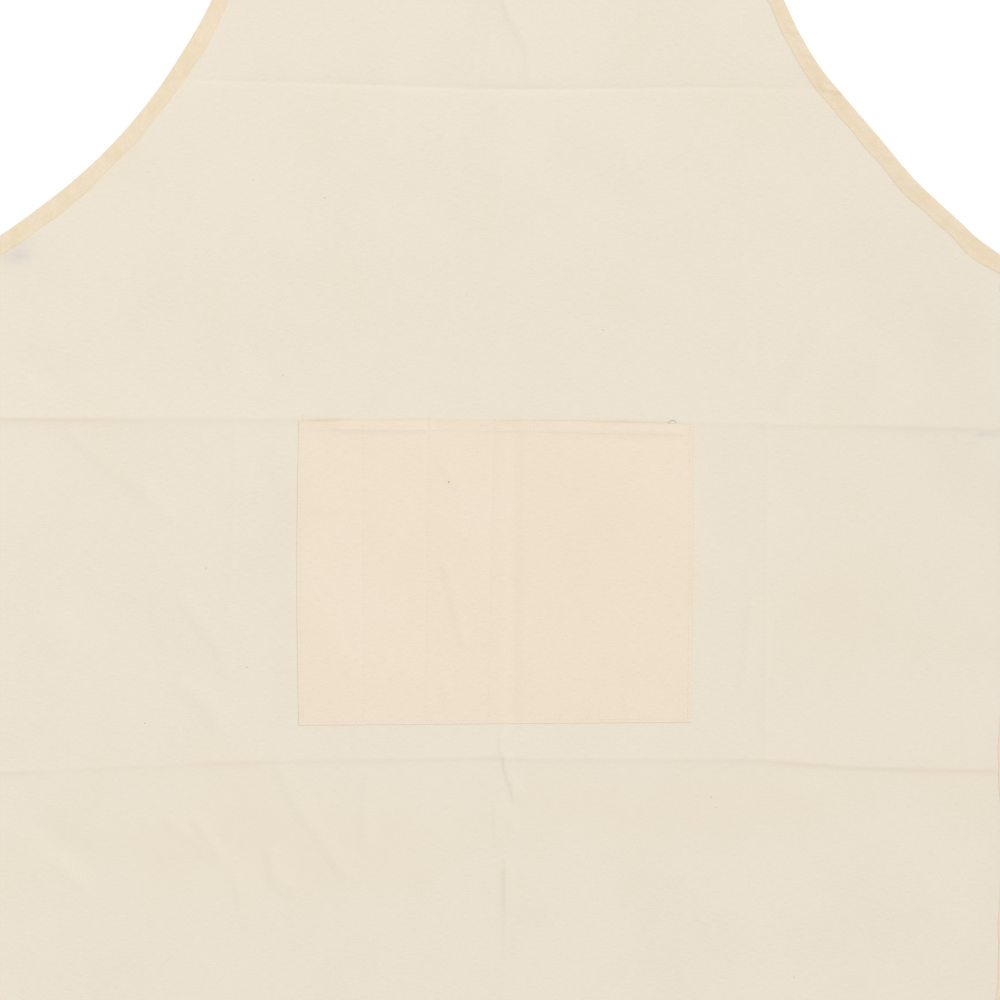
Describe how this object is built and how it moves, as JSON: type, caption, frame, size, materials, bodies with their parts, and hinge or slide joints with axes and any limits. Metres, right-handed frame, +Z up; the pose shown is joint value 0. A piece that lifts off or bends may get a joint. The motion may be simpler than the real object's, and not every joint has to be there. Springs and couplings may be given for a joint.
{
  "type": "artist apron",
  "caption": "Unbleached cotton bib apron lying flat, edges bound in folded tape, with neck strap, waist ties and a patch pocket sewn into brush slots and a wide compartment.",
  "frame": {"origin": "on the surface that it lies on, under the middle of the apron with its neck strap and without its ties", "axes": "+X to the right as it is seen from above, +Y from the hem to the neck strap, +Z up out of the front of the cloth"},
  "size_m": [0.814, 1.184, 0.0081],
  "materials": {
    "calico": "plain weave, unbleached, matt",
    "pocket_calico": "plain weave, unbleached, a warmer cut of the same cloth",
    "cotton_tape": "bias-cut cotton tape, folded and pressed"
  },
  "bodies": {
    "root": {"apron_panel": "calico", "pocket": "pocket_calico", "armhole_binding_left": "cotton_tape", "armhole_binding_right": "cotton_tape", "bib_binding": "cotton_tape", "skirt_binding": "cotton_tape", "neck_strap": "cotton_tape", "waist_tie_left": "cotton_tape", "waist_tie_right": "cotton_tape"}
  },
  "joints": []
}
